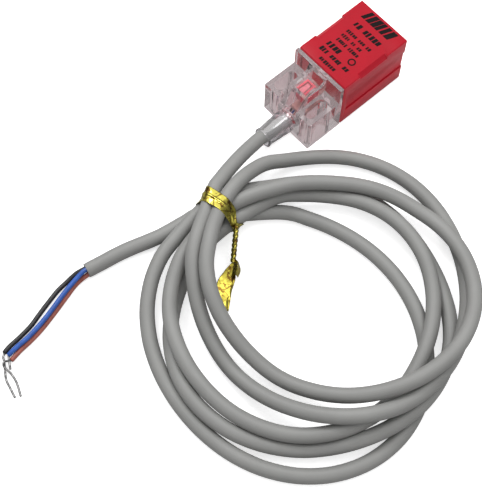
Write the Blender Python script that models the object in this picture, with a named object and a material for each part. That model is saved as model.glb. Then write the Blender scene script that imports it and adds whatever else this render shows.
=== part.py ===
# Square inductive proximity sensor: a red housing with a clear rear cover, its electronics,
# and its grey cable lying in a tied coil beside it.
# Units are metres, +Z is up. The origin is the bottom centre of the sensor's body.
# +Y runs along the body towards the sensing face, and the cable leaves at -Y.
# The bare wire ends lie on the surface that the sensor stands on, at z = 0.
import math

import bmesh
import bpy
import numpy as np
from mathutils import Matrix, Vector

# ---------------------------------------------------------------- driving dimensions
GAP = 0.0003                    # clearance between pieces that touch or fit

BODY_WIDTH = 0.018              # X
BODY_HEIGHT = 0.018             # Z
BODY_LENGTH = 0.036             # Y
REAR = -0.018                   # Y of the cover's rear face, where the cable starts; the body grows forward
COVER_LENGTH = 0.0124           # clear rear cover, flange included
FLANGE_THICKNESS = 0.0015
HOUSING_WALL = 0.0015
FRONT_WALL = 0.0012
EDGE_ROUND = 0.0004             # radius on the mouldings' outer edges

CHANNEL_DEPTH = 0.0005          # long channel in each side of the housing
CHANNEL_LOW = 0.0056            # its height range
CHANNEL_HIGH = 0.0118
CHANNEL_SLOPE = 0.0009          # height of its sloped upper edge
CHANNEL_SETBACK = 0.0016        # from the housing's rear edge

CHAMFER = 0.0012                # relieved stretch of the housing's top edges
CHAMFER_START = 0.0058          # from the housing's rear edge
CHAMFER_LENGTH = 0.0101

RIDGE_WIDTH = 0.0068            # ridge between the cover's ears
EAR_HEIGHT = 0.0121
SLOT_WIDTH = 0.0034             # mounting slots through the ears, for M3 screws
SLOT_LENGTH = 0.0074
SLOT_FROM_REAR = 0.0050         # slot's centre
SLOT_INSET = 0.0002             # how far inside its ear's middle the slot lies
WINDOW_HEIGHT = 0.0152          # flat window on the ridge
WINDOW_START = 0.0033           # from the rear
WINDOW_LENGTH = 0.0060
RIDGE_REAR_HEIGHT = 0.0086
COVER_WALL = 0.0014

CABLE_DIAMETER = 0.0040
CABLE_HEIGHT = 0.0042           # height of the gland's axis
GLAND_WALL = 0.0011             # strain relief: wall at its root
GLAND_TAPER = 0.0006            # how much slimmer it is at its tip
GLAND_LENGTH = 0.0088           # past the cover's rear face
GLAND_LIP = 0.0002              # height of the lip at its tip
NECK_WALL = 0.0006

WIRE_DIAMETER = 0.0013          # insulated cores
TIP_DIAMETER = 0.0007           # bared, tinned ends

CORE_DIAMETER = 0.0140          # ferrite pot core
CORE_LENGTH = 0.0045
CORE_POST = 0.0060
CORE_RIM = 0.0010
CORE_BACK = 0.0014
BOBBIN_WALL = 0.0004
CARRIER_THICKNESS = 0.0016

BOARD_THICKNESS = 0.0010
BOARD_HEIGHT = 0.0070           # underside of the board
BOARD_TONGUE = 0.0036           # width of the tongue in the cover's ridge
BOARD_MARGIN = 0.0012           # between the board's edges and the housing's walls
TONGUE_SETBACK = 0.0022         # from the inside of the cover's rear wall
MOUTH_SETBACK = 0.0004          # from the seam to the potting and to the board's shoulder
PLUG_THICKNESS = 0.0030
COIL_LEAD_OFFSET = 0.0056       # the coil's two ends pass through notches in the carrier
COIL_LEAD_LIFT = 0.0014         # above the board
NOTCH_HALF = 0.0010
LEG_DIAMETER = 0.0005           # the coil's ends and the lamp's legs
INNER_CORE_DIAMETER = 0.0008    # the cable's cores where they fan out under the window
INNER_CORE_SPACING = 0.0011
LED_LENGTH = 0.0042
LED_WIDTH = 0.0034
LED_DEPTH = 0.0026
TRAY_WALL = 0.0005

BAND_WIDTH = 0.0042             # foil twist tie
BAND_THICKNESS = 0.0003

# ---------------------------------------------------------------- the cable's route
# The lead's points run from inside the cover to the coil, the tail's from the coil to the jacket's end.
LEAD_ROUTE = [
    (0.0, -0.0165, 0.0042), (0.0, -0.0215, 0.0042), (0.0000, -0.0272, 0.0042), (0.0007, -0.0320, 0.0048),
    (0.0017, -0.0367, 0.0059), (0.0029, -0.0412, 0.0073), (0.0043, -0.0457, 0.0088),
]
TAIL_ROUTE = [
    (0.0057, -0.0545, 0.0028), (0.0050, -0.0583, 0.0024), (0.0044, -0.0622, 0.0021),
    (0.0037, -0.0660, 0.0020), (0.0027, -0.0695, 0.0020), (0.0011, -0.0745, 0.0020),
    (0.0001, -0.0785, 0.0020), (-0.0006, -0.0825, 0.0020), (-0.0015, -0.0872, 0.0020),
]
# Each turn of the coil is a leaning oval with a slight three-sided swell.
# centre, half length, half width, lean in degrees, swell, direction of the swell in degrees
COIL_TURNS = [
    ((0.0434, -0.0413), 0.0380, 0.0352, -31, 0.0006, -19),
    ((0.0466, -0.0413), 0.0343, 0.0290, 32, 0.0007, -28),
    ((0.0444, -0.0523), 0.0327, 0.0342, -8, 0.0008, -30),
    ((0.0463, -0.0515), 0.0353, 0.0371, 25, 0.0013, 20),
    ((0.0465, -0.0600), 0.0386, 0.0327, 3, 0.0004, -46),
]
# Where the six strands pass through the tie: (x, y, z) of each strand in the bundle.
TIE_STRANDS = [
    (0.0059, -0.0497, 0.0102), (0.0099, -0.0492, 0.0104), (0.0106, -0.0499, 0.0064),
    (0.0141, -0.0500, 0.0054), (0.0067, -0.0496, 0.0062), (0.0095, -0.0509, 0.0028),
]
TIE_PLACE = (0.0096, -0.0496)   # middle of the bundle
TURN_CLEARANCE = 24             # degrees of each turn, on either side of the tie, that the bundle takes up
TURN_POINTS = 24                # points in each turn
COIL_HEIGHT = 0.0112            # three cables high on average
BUNDLE_HEIGHT = 0.0126          # top of the bundle at the tie
BUNDLE_LIFT = 0.0008            # room for the tie under the bundle
BUNDLE_SLOPE = 0.0062           # the bundle's top falls away on the coil's side

WIRE_ROUTES = {
    "black": [
        (-0.0024, -0.0879, 0.0020), (-0.0029, -0.0900, 0.0014), (-0.0028, -0.0930, 0.0009),
        (-0.0025, -0.0961, 0.0008), (-0.0016, -0.0996, 0.0008), (-0.0005, -0.1035, 0.0007),
        (0.0007, -0.1074, 0.0007), (0.0013, -0.1113, 0.0007), (0.0016, -0.1147, 0.0007),
        (0.0021, -0.1170, 0.0007),
    ],
    "blue": [
        (-0.0015, -0.0877, 0.0030), (-0.0013, -0.0905, 0.0026), (-0.0007, -0.0940, 0.0022),
        (0.0001, -0.0970, 0.0021), (0.0011, -0.1003, 0.0021), (0.0020, -0.1036, 0.0020),
        (0.0027, -0.1070, 0.0019), (0.0032, -0.1102, 0.0019), (0.0033, -0.1135, 0.0017),
        (0.0035, -0.1166, 0.0012),
    ],
    "brown": [
        (-0.0007, -0.0878, 0.0014), (-0.0009, -0.0903, 0.0009), (-0.0005, -0.0927, 0.0008),
        (0.0003, -0.0953, 0.0008), (0.0012, -0.0984, 0.0007), (0.0020, -0.1011, 0.0007),
        (0.0028, -0.1040, 0.0007), (0.0035, -0.1070, 0.0007), (0.0040, -0.1105, 0.0007),
        (0.0043, -0.1137, 0.0007), (0.0049, -0.1168, 0.0007),
    ],
}
TIP_ROUTES = {
    "black": [(0.0022, -0.1174, 0.0007), (0.0040, -0.1189, 0.0006), (0.0076, -0.1207, 0.0005),
              (0.0104, -0.1216, 0.0005), (0.0131, -0.1221, 0.0005)],
    "blue": [(0.0037, -0.1170, 0.0013), (0.0051, -0.1180, 0.0013), (0.0066, -0.1189, 0.0014),
             (0.0072, -0.1193, 0.0014)],
    "brown": [(0.0052, -0.1172, 0.0007), (0.0071, -0.1180, 0.0006), (0.0093, -0.1188, 0.0005),
              (0.0119, -0.1197, 0.0005), (0.0141, -0.1205, 0.0005)],
}
TWIST_ROUTE = [(0.0172, -0.0512, 0.0088), (0.0184, -0.0524, 0.0068), (0.0199, -0.0540, 0.0046),
               (0.0222, -0.0565, 0.0024)]
TWIST_DIAMETER = 0.0016
FLAP_THICKNESS = 0.0004
FLAP_LIFT = 0.0004              # height of the lower flap above the table
# The tie's two foil ends, as corners in plan.
LONG_FLAP = [(0.0228, -0.0571), (0.0246, -0.0578), (0.0285, -0.0640), (0.0306, -0.0664), (0.0270, -0.0640)]
SHORT_FLAP = [(0.0222, -0.0573), (0.0240, -0.0586), (0.0262, -0.0628), (0.0243, -0.0622)]

# ---------------------------------------------------------------- worked out from the above
FRONT = REAR + BODY_LENGTH                      # Y of the sensing face
SEAM = REAR + COVER_LENGTH                      # Y where cover and housing meet
FLANGE_REAR = SEAM - FLANGE_THICKNESS
HALF = BODY_WIDTH / 2
INNER_HALF = HALF - HOUSING_WALL
AXIS_HEIGHT = BODY_HEIGHT / 2                   # height of the sensing head's axis
BOARD_TOP = BOARD_HEIGHT + BOARD_THICKNESS
CARRIER_FRONT = FRONT - FRONT_WALL - GAP - CORE_LENGTH - GAP
CARRIER_REAR = CARRIER_FRONT - CARRIER_THICKNESS
BOARD_FRONT = CARRIER_REAR - GAP


# ---------------------------------------------------------------- helpers
def material(name, colour, roughness, metallic=0.0, alpha=1.0):
    mat = bpy.data.materials.new(name)
    mat.use_nodes = True
    shader = mat.node_tree.nodes["Principled BSDF"]
    shader.inputs["Base Color"].default_value = (*colour, 1.0)
    shader.inputs["Roughness"].default_value = roughness
    shader.inputs["Metallic"].default_value = metallic
    shader.inputs["Alpha"].default_value = alpha
    mat.diffuse_color = (*colour, alpha)
    return mat


def add_mesh(name, points, faces, mat=None):
    """A mesh object from points and faces, with its normals turned outward."""
    mesh = bpy.data.meshes.new(name)
    mesh.from_pydata([tuple(p) for p in points], [], faces)
    shape = bmesh.new()
    shape.from_mesh(mesh)
    bmesh.ops.recalc_face_normals(shape, faces=shape.faces)
    shape.to_mesh(mesh)
    shape.free()
    thing = bpy.data.objects.new(name, mesh)
    bpy.context.scene.collection.objects.link(thing)
    if mat:
        mesh.materials.append(mat)
    return thing


def box(name, low, high, mat=None):
    xs, ys, zs = zip(low, high)
    points = [(x, y, z) for x in xs for y in ys for z in zs]
    faces = [(0, 1, 3, 2), (4, 6, 7, 5), (0, 4, 5, 1), (2, 3, 7, 6), (0, 2, 6, 4), (1, 5, 7, 3)]
    return add_mesh(name, points, faces, mat)


def prism(name, outline, start, end, axis="x", mat=None):
    """An outline pushed along an axis; its points are the other two coordinates, in X, Y, Z order."""
    ways = {"x": lambda a, b, d: (d, a, b), "y": lambda a, b, d: (a, d, b), "z": lambda a, b, d: (a, b, d)}
    place = ways[axis]
    count = len(outline)
    points = [place(a, b, depth) for depth in (start, end) for a, b in outline]
    faces = [tuple(range(count)), tuple(range(count, 2 * count))]
    faces += [(i, (i + 1) % count, count + (i + 1) % count, count + i) for i in range(count)]
    return add_mesh(name, points, faces, mat)


def turned(name, profile, centre, sides=32, mat=None):
    """A closed profile of (radius, y) points turned round an axis along Y; radius 0 closes on the axis."""
    angles = [2 * math.pi * k / sides for k in range(sides)]
    x, z = centre
    points, rings = [], []
    for radius, y in profile:
        if radius == 0:
            rings.append([len(points)] * sides)
            points.append((x, y, z))
        else:
            rings.append(list(range(len(points), len(points) + sides)))
            points += [(x + radius * math.cos(a), y, z + radius * math.sin(a)) for a in angles]
    faces = []
    for i, ring in enumerate(rings):
        after = rings[(i + 1) % len(rings)]
        for k in range(sides):
            corners = [ring[k], ring[(k + 1) % sides], after[(k + 1) % sides], after[k]]
            corners = [c for n, c in enumerate(corners) if c not in corners[:n]]
            if len(corners) > 2:
                faces.append(tuple(corners))
    return add_mesh(name, points, faces, mat)


def rod(name, start, end, radius, sides=8, mat=None):
    """A straight round bar between two points."""
    start, end = Vector(start), Vector(end)
    turn = (end - start).to_track_quat("Z", "Y").to_matrix().to_4x4()
    shape = bmesh.new()
    bmesh.ops.create_cone(
        shape, cap_ends=True, segments=sides, radius1=radius, radius2=radius, depth=(end - start).length,
        matrix=Matrix.Translation((start + end) / 2) @ turn,
    )
    mesh = bpy.data.meshes.new(name)
    shape.to_mesh(mesh)
    shape.free()
    thing = bpy.data.objects.new(name, mesh)
    bpy.context.scene.collection.objects.link(thing)
    if mat:
        mesh.materials.append(mat)
    return thing


def boolean(target, tool, operation="DIFFERENCE"):
    step = target.modifiers.new(operation.title() + " " + tool.name, "BOOLEAN")
    step.operation = operation
    step.object = tool
    step.solver = "EXACT"
    tool.hide_render = True
    tool.display_type = "WIRE"


def bevel(target, width, segments=2, angle=40):
    step = target.modifiers.new("Rounded edges", "BEVEL")
    step.width = width
    step.segments = segments
    step.limit_method = "ANGLE"
    step.angle_limit = math.radians(angle)
    step.use_clamp_overlap = True


def shade_round(thing, angle=35):
    thing.data.shade_smooth()
    thing.data.set_sharp_from_angle(angle=math.radians(angle))


def obround(centre_x, centre_y, width, length, steps=10):
    """A slot's outline, its length along Y."""
    radius = width / 2
    reach = length / 2 - radius
    outline = []
    for side in (1, -1):
        for k in range(steps + 1):
            angle = math.pi * k / steps
            outline.append((centre_x + side * radius * math.cos(angle),
                            centre_y + side * (reach + radius * math.sin(angle))))
    return outline


def smooth_route(points, spacing):
    """Points at even distances along a Catmull-Rom curve through the route's points."""
    knots = np.array(points, float)
    knots = np.vstack([2 * knots[0] - knots[1], knots, 2 * knots[-1] - knots[-2]])
    share = np.linspace(0, 1, 20, endpoint=False)[:, None]
    pieces = []
    for p0, p1, p2, p3 in zip(knots, knots[1:], knots[2:], knots[3:]):
        pieces.append(0.5 * (2 * p1 + (p2 - p0) * share + (2 * p0 - 5 * p1 + 4 * p2 - p3) * share ** 2
                             + (3 * p1 - p0 - 3 * p2 + p3) * share ** 3))
    fine = np.vstack(pieces + [knots[-2:-1]])
    along = np.concatenate([[0], np.cumsum(np.linalg.norm(np.diff(fine, axis=0), axis=1))])
    count = max(2, round(along[-1] / spacing) + 1)
    wanted = np.linspace(0, along[-1], count)
    return np.stack([np.interp(wanted, along, fine[:, k]) for k in range(3)], axis=1)


def cord(name, points, diameter, resolution, mat):
    """A round cord along points, as a curve with a bevel and closed ends."""
    curve = bpy.data.curves.new(name, "CURVE")
    curve.dimensions = "3D"
    curve.bevel_depth = diameter / 2
    curve.bevel_resolution = resolution
    curve.use_fill_caps = True
    spline = curve.splines.new("POLY")
    spline.points.add(len(points) - 1)
    for spot, place in zip(spline.points, points):
        spot.co = (*place, 1.0)
    curve.materials.append(mat)
    thing = bpy.data.objects.new(name, curve)
    bpy.context.scene.collection.objects.link(thing)
    return thing


# ---------------------------------------------------------------- mouldings
def make_front_housing(mat):
    """Cup with a closed sensing face, a channel along each side and relieved top edges."""
    housing = box("front_housing", (-HALF, SEAM, 0), (HALF, FRONT, BODY_HEIGHT), mat)
    bevel(housing, EDGE_ROUND)
    hollow = box("housing_hollow", (-INNER_HALF, SEAM - 0.001, HOUSING_WALL),
                 (INNER_HALF, FRONT - FRONT_WALL, BODY_HEIGHT - HOUSING_WALL))
    boolean(housing, hollow)
    for side, word in ((-1, "left"), (1, "right")):
        floor = side * (HALF - CHANNEL_DEPTH)
        beyond = side * (HALF + CHANNEL_DEPTH)
        top = CHANNEL_HIGH + CHANNEL_SLOPE
        channel = prism("channel_" + word, [
            (floor, CHANNEL_LOW), (floor, CHANNEL_HIGH), (side * HALF, top),
            (beyond, top + CHANNEL_SLOPE), (beyond, CHANNEL_LOW)],
            SEAM + CHANNEL_SETBACK, FRONT + 0.001, "y")
        boolean(housing, channel)
        reach = CHAMFER * 2
        corner = prism("chamfer_" + word, [
            (side * (HALF - CHAMFER), BODY_HEIGHT), (side * (HALF - CHAMFER + reach), BODY_HEIGHT - reach),
            (side * (HALF + reach), BODY_HEIGHT + reach), (side * (HALF - CHAMFER), BODY_HEIGHT + reach)],
            SEAM + CHAMFER_START, SEAM + CHAMFER_START + CHAMFER_LENGTH, "y")
        boolean(housing, corner)
    return housing


def ridge_outline(inset):
    """Side view (y, z) of the ridge's top, from the rear up to the flange, drawn in by inset."""
    window_end = WINDOW_START + WINDOW_LENGTH
    return [
        (REAR + inset, RIDGE_REAR_HEIGHT - inset), (REAR + 0.0008 + inset, RIDGE_REAR_HEIGHT - inset),
        (REAR + WINDOW_START + inset, WINDOW_HEIGHT - inset), (REAR + window_end, WINDOW_HEIGHT - inset),
        (REAR + window_end + 0.0009, WINDOW_HEIGHT + 0.0010 - inset),
        (FLANGE_REAR - 0.0001, BODY_HEIGHT - inset),
    ]


def make_rear_cover(mat):
    """Flange, two ears with mounting slots, and between them the ridge with its window over a hollow."""
    cover = box("rear_cover", (-HALF, REAR, 0), (HALF, SEAM - GAP, BODY_HEIGHT), mat)
    half_ridge = RIDGE_WIDTH / 2
    over = 0.001
    for side, word in ((-1, "left"), (1, "right")):
        low_x, high_x = sorted((side * half_ridge, side * (HALF + over)))
        above = box("above_ear_" + word, (low_x, REAR - over, EAR_HEIGHT),
                    (high_x, FLANGE_REAR, BODY_HEIGHT + over))
        boolean(cover, above)
    top = ridge_outline(0)
    above_ridge = prism("above_ridge", [(REAR - over, top[0][1])] + top[1:]
                        + [(FLANGE_REAR - 0.0001, BODY_HEIGHT + over), (REAR - over, BODY_HEIGHT + over)],
                        -half_ridge, half_ridge, "x")
    boolean(cover, above_ridge)
    bevel(cover, EDGE_ROUND * 0.75)
    inside = ridge_outline(COVER_WALL)
    half_hollow = half_ridge - COVER_WALL * 0.8
    hollow = prism("ridge_hollow", [(REAR + COVER_WALL, COVER_WALL)] + inside[:-1]
                   + [(SEAM + over, inside[-2][1]), (SEAM + over, COVER_WALL)],
                   -half_hollow, half_hollow, "x")
    boolean(cover, hollow)
    bore = rod("gland_bore", (0, REAR - over, CABLE_HEIGHT), (0, REAR + COVER_WALL + over, CABLE_HEIGHT),
               CABLE_DIAMETER / 2 + GAP + NECK_WALL + GAP, 24)
    boolean(cover, bore)
    slot_x = (HALF + half_ridge) / 2 - SLOT_INSET
    for side, word in ((-1, "left"), (1, "right")):
        outline = obround(side * slot_x, REAR + SLOT_FROM_REAR, SLOT_WIDTH, SLOT_LENGTH)
        slot = prism("slot_" + word, outline, -over, EAR_HEIGHT + over, "z")
        boolean(cover, slot)
    return cover


def make_strain_relief(mat):
    """Tapered sleeve with a lip at its tip and a neck through the cover's rear wall."""
    bore = CABLE_DIAMETER / 2 + GAP
    root = bore + GLAND_WALL
    tip = root - GLAND_TAPER
    back = REAR - GAP
    end = REAR - GLAND_LENGTH
    profile = [
        (bore, REAR + COVER_WALL), (bore + NECK_WALL, REAR + COVER_WALL), (bore + NECK_WALL, back),
        (root, back), (root, back - 0.0012), (tip, end + 0.0009), (tip + GLAND_LIP, end + 0.0007),
        (tip + GLAND_LIP, end + 0.0002), (tip, end), (bore, end),
    ]
    sleeve = turned("strain_relief", profile, (0, CABLE_HEIGHT), 32, mat)
    shade_round(sleeve)
    return sleeve


# ---------------------------------------------------------------- sensing head
def make_sensing_head(ferrite, plastic, copper, carrier_mat):
    """Pot core open to the front, with a wound bobbin in its groove, held by a plate."""
    centre = (0, AXIS_HEIGHT)
    back = CARRIER_FRONT + GAP
    front = back + CORE_LENGTH
    outer = CORE_DIAMETER / 2
    post = CORE_POST / 2
    floor = back + CORE_BACK
    groove = outer - CORE_RIM
    core = turned("ferrite_core", [
        (0, back), (outer, back), (outer, front), (groove, front), (groove, floor), (post, floor),
        (post, front), (0, front)], centre, 28, ferrite)
    inner = post + GAP
    rim = groove - GAP
    spool = inner + BOBBIN_WALL
    low, high = floor + GAP, front - GAP
    bobbin = turned("coil_bobbin", [
        (inner, low), (rim, low), (rim, low + BOBBIN_WALL), (spool, low + BOBBIN_WALL),
        (spool, high - BOBBIN_WALL), (rim, high - BOBBIN_WALL), (rim, high), (inner, high)],
        centre, 28, plastic)
    first, last = low + BOBBIN_WALL + GAP, high - BOBBIN_WALL - GAP
    winding = turned("sensing_coil", [
        (spool + GAP, first), (rim - GAP, first), (rim - GAP, last), (spool + GAP, last)],
        centre, 28, copper)
    side = INNER_HALF - GAP
    carrier = box("core_carrier", (-side, CARRIER_REAR, AXIS_HEIGHT - side),
                  (side, CARRIER_FRONT, AXIS_HEIGHT + side), carrier_mat)
    for sign in (-1, 1):
        x = sign * COIL_LEAD_OFFSET
        z = BOARD_TOP + COIL_LEAD_LIFT
        notch = box("carrier_notch", (x - NOTCH_HALF, CARRIER_REAR - 0.001, z - NOTCH_HALF),
                    (x + NOTCH_HALF, CARRIER_FRONT + 0.001, z + NOTCH_HALF))
        boolean(carrier, notch)
    for thing in (core, bobbin, winding):
        shade_round(thing)


# ---------------------------------------------------------------- electronics
def make_board(mat):
    """T-shaped board: wide in the housing, with a tongue that reaches under the window."""
    half_wide = INNER_HALF - BOARD_MARGIN
    half_tongue = BOARD_TONGUE / 2
    shoulder = SEAM + MOUTH_SETBACK
    rear = REAR + COVER_WALL + TONGUE_SETBACK
    outline = [(-half_tongue, rear), (half_tongue, rear), (half_tongue, shoulder), (half_wide, shoulder),
               (half_wide, BOARD_FRONT), (-half_wide, BOARD_FRONT), (-half_wide, shoulder),
               (-half_tongue, shoulder)]
    return prism("circuit_board", outline, BOARD_HEIGHT, BOARD_TOP, "z", mat)


def make_components(black, tan, blue, yellow, silver):
    """Chips and passives in rows on the board's top; each is a block of its own."""
    plug_front = SEAM + MOUTH_SETBACK + PLUG_THICKNESS
    base = BOARD_TOP + GAP
    chips = {       # name: (x, y from the potting's front, length along X, along Y, height, material)
        "oscillator_chip": (0.0, 0.0062, 0.0040, 0.0050, 0.0016, black),
        "output_transistor": (-0.0040, 0.0022, 0.0030, 0.0022, 0.0015, black),
        "regulator": (0.0040, 0.0022, 0.0030, 0.0022, 0.0015, black),
        "protection_diode": (0.0, 0.0017, 0.0030, 0.0014, 0.0011, black),
        "sensitivity_trimmer": (0.0043, 0.0062, 0.0030, 0.0030, 0.0022, blue),
        "capacitor_supply": (-0.0043, 0.0058, 0.0028, 0.0018, 0.0017, yellow),
        "capacitor_tank": (-0.0043, 0.0084, 0.0020, 0.0013, 0.0010, tan),
        "resistor_base": (0.0043, 0.0090, 0.0020, 0.0012, 0.0006, silver),
    }
    for name, (x, along, wide, long, tall, mat) in chips.items():
        y = plug_front + along
        block = box(name, (x - wide / 2, y - long / 2, base), (x + wide / 2, y + long / 2, base + tall), mat)
        bevel(block, 0.0001, 1)


def make_indicator(red, lens, silver):
    """U-shaped tray under the window, a lens block in it, and its two legs down to the board."""
    top = WINDOW_HEIGHT - COVER_WALL - 0.0004
    bottom = top - LED_DEPTH
    front = REAR + WINDOW_START + WINDOW_LENGTH - 0.0002
    rear = front - LED_LENGTH
    half = LED_WIDTH / 2
    inner = half - TRAY_WALL
    tray = prism("indicator_reflector", [
        (-half, rear), (-inner, rear), (-inner, front - TRAY_WALL), (inner, front - TRAY_WALL),
        (inner, rear), (half, rear), (half, front), (-half, front)], bottom, top, "z", red)
    lens_block = box("indicator_led", (GAP - inner, rear, bottom),
                     (inner - GAP, front - TRAY_WALL - GAP, top - GAP), lens)
    bevel(lens_block, 0.0002, 2)
    for number, y in ((1, rear + 0.0012), (2, rear + 0.0032)):
        rod("led_lead_%d" % number, (0, y, BOARD_TOP + GAP), (0, y, bottom - GAP),
            LEG_DIAMETER / 2, 8, silver)
    return tray


def make_potting(mat):
    """Resin across the housing's mouth, with a slot that the board passes through."""
    side = INNER_HALF - GAP
    rear = SEAM + MOUTH_SETBACK
    plug = box("potting_plug", (-side, rear, AXIS_HEIGHT - side),
               (side, rear + PLUG_THICKNESS, AXIS_HEIGHT + side), mat)
    half_wide = INNER_HALF - BOARD_MARGIN + GAP
    slot = box("board_slot", (-half_wide, rear - 0.001, BOARD_HEIGHT - GAP),
               (half_wide, rear + PLUG_THICKNESS + 0.001, BOARD_TOP + GAP))
    boolean(plug, slot)
    return plug


def make_inner_wires(mats, copper):
    """Cable cores up to the board's tongue, and the sensing coil's two ends."""
    start = LEAD_ROUTE[0][1] + GAP
    reach = REAR + COVER_WALL + TONGUE_SETBACK + 0.0020
    spread = (-INNER_CORE_SPACING, 0.0, INNER_CORE_SPACING)
    for (word, mat), x in zip(mats.items(), spread):
        lift = CABLE_HEIGHT + (INNER_CORE_DIAMETER if word == "blue" else 0.0)
        route = [(x, start, lift), (x, start + 0.0010, lift + 0.0002),
                 (x, reach - 0.0004, BOARD_HEIGHT - INNER_CORE_DIAMETER * 1.5)]
        cord("core_" + word, smooth_route(route, 0.0012), INNER_CORE_DIAMETER, 1, mat)
    for number, sign in ((1, -1), (2, 1)):
        x = sign * COIL_LEAD_OFFSET
        z = BOARD_TOP + COIL_LEAD_LIFT
        rod("coil_lead_%d" % number, (x, CARRIER_REAR - 0.0008, z), (x, CARRIER_FRONT - GAP, z),
            LEG_DIAMETER / 2, 8, copper)


# ---------------------------------------------------------------- cable
def turn_points(turn, count):
    """Points of one turn, anticlockwise from the tie back to the tie."""
    (cx, cy), length, width, lean, swell, swell_way = turn
    tie_way = math.atan2(TIE_PLACE[1] - cy, TIE_PLACE[0] - cx)
    skip = math.radians(TURN_CLEARANCE)
    angles = tie_way + np.linspace(skip, 2 * math.pi - skip, count)
    own = angles - math.radians(lean)
    reach = length * width / np.sqrt((width * np.cos(own)) ** 2 + (length * np.sin(own)) ** 2)
    reach = reach + swell * np.cos(3 * (angles - math.radians(swell_way)))
    height = np.full(count, CABLE_DIAMETER)
    return np.stack([cx + reach * np.cos(angles), cy + reach * np.sin(angles), height], axis=1)


def coil_route():
    """The whole coil in plan: through the tie and round, once for each turn."""
    stops = []
    for strand, turn in zip(TIE_STRANDS, COIL_TURNS):
        stops += [np.array([strand]), turn_points(turn, TURN_POINTS)]
    return np.vstack(stops + [np.array([TIE_STRANDS[-1]])])


def make_coil(mat, lead_end, tail_start):
    """Closed ring with the coil's outer shape: as wide as the turns spread, narrow and tall at the tie."""
    route = smooth_route(coil_route(), 0.0015)
    middle = np.mean([turn[0] for turn in COIL_TURNS], axis=0)
    away = route[:, :2] - middle
    ways = np.arctan2(away[:, 1], away[:, 0])
    reach = np.hypot(away[:, 0], away[:, 1])
    sides = 72
    tie_way = math.atan2(TIE_PLACE[1] - middle[1], TIE_PLACE[0] - middle[0])
    points, faces = [], []
    for k in range(sides):
        way = tie_way + 2 * math.pi * k / sides
        apart = np.abs((ways - way + math.pi) % (2 * math.pi) - math.pi)
        near = reach[apart < math.radians(180 / sides + 1)]
        inner = near.min() - CABLE_DIAMETER / 2
        outer = near.max() + CABLE_DIAMETER / 2
        off_tie = abs(math.degrees((way - tie_way + math.pi) % (2 * math.pi) - math.pi))
        rise = min(1.0, max(0.0, (18 - off_tie) / 10))
        rise = rise * rise * (3 - 2 * rise)
        low = BUNDLE_LIFT * rise
        high = COIL_HEIGHT + (BUNDLE_HEIGHT - COIL_HEIGHT) * rise
        soft = CABLE_DIAMETER / 2 * 0.7
        slope = soft + (BUNDLE_SLOPE - soft) * rise
        section = [(inner, low + soft), (inner + soft, low), (outer - soft, low), (outer, low + soft),
                   (outer, high - soft), (outer - soft, high), (inner + slope, high), (inner, high - slope)]
        points += [(middle[0] + r * math.cos(way), middle[1] + r * math.sin(way), z) for r, z in section]
    ring = len(section)
    for k in range(sides):
        for j in range(ring):
            a, b = k * ring + j, k * ring + (j + 1) % ring
            c, d = ((k + 1) % sides) * ring + (j + 1) % ring, ((k + 1) % sides) * ring + j
            faces.append((a, b, c, d))
    coil = add_mesh("cable_coil", points, faces, mat)
    shade_round(coil, 50)
    for name, (outside, inside) in (("lead_stub", lead_end), ("tail_stub", tail_start)):
        stub = rod(name, outside, inside, CABLE_DIAMETER / 2, 12)
        boolean(coil, stub, "UNION")
    return coil


def cut_route(points, y_limit, keep_above):
    """The part of an even route on one side of a plane across Y."""
    return points[points[:, 1] > y_limit] if keep_above else points[points[:, 1] < y_limit]


def step_back(end, toward, distance):
    way = Vector(toward) - Vector(end)
    return Vector(end) + way.normalized() * distance


LEAD_STOP = -0.0375             # Y where the lead's tube hands over to the coil
TAIL_STOP = -0.0668             # Y where the tail's tube takes over from it


def make_cable(mat, wire_mats, tin):
    spacing = CABLE_DIAMETER * 0.55
    lead = smooth_route(LEAD_ROUTE, spacing)
    tail = smooth_route(TAIL_ROUTE, spacing)
    lead_kept = cut_route(lead, LEAD_STOP, True)
    tail_kept = cut_route(tail, TAIL_STOP, False)
    lead_next = lead[-1]
    tail_before = tail[len(tail) - len(tail_kept) - 3]
    cord("cable_lead", lead_kept, CABLE_DIAMETER, 3, mat)
    cord("cable_tail", tail_kept, CABLE_DIAMETER, 3, mat)
    lead_end = (step_back(lead_kept[-1], lead_next, GAP), lead_next)
    tail_start = (step_back(tail_kept[0], tail_before, GAP), tail_before)
    make_coil(mat, lead_end, tail_start)
    for word, route in WIRE_ROUTES.items():
        cord("wire_" + word, smooth_route(route, WIRE_DIAMETER * 2.4), WIRE_DIAMETER, 2, wire_mats[word])
        cord("tip_" + word, smooth_route(TIP_ROUTES[word], WIRE_DIAMETER * 1.6), TIP_DIAMETER, 1, tin)


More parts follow.
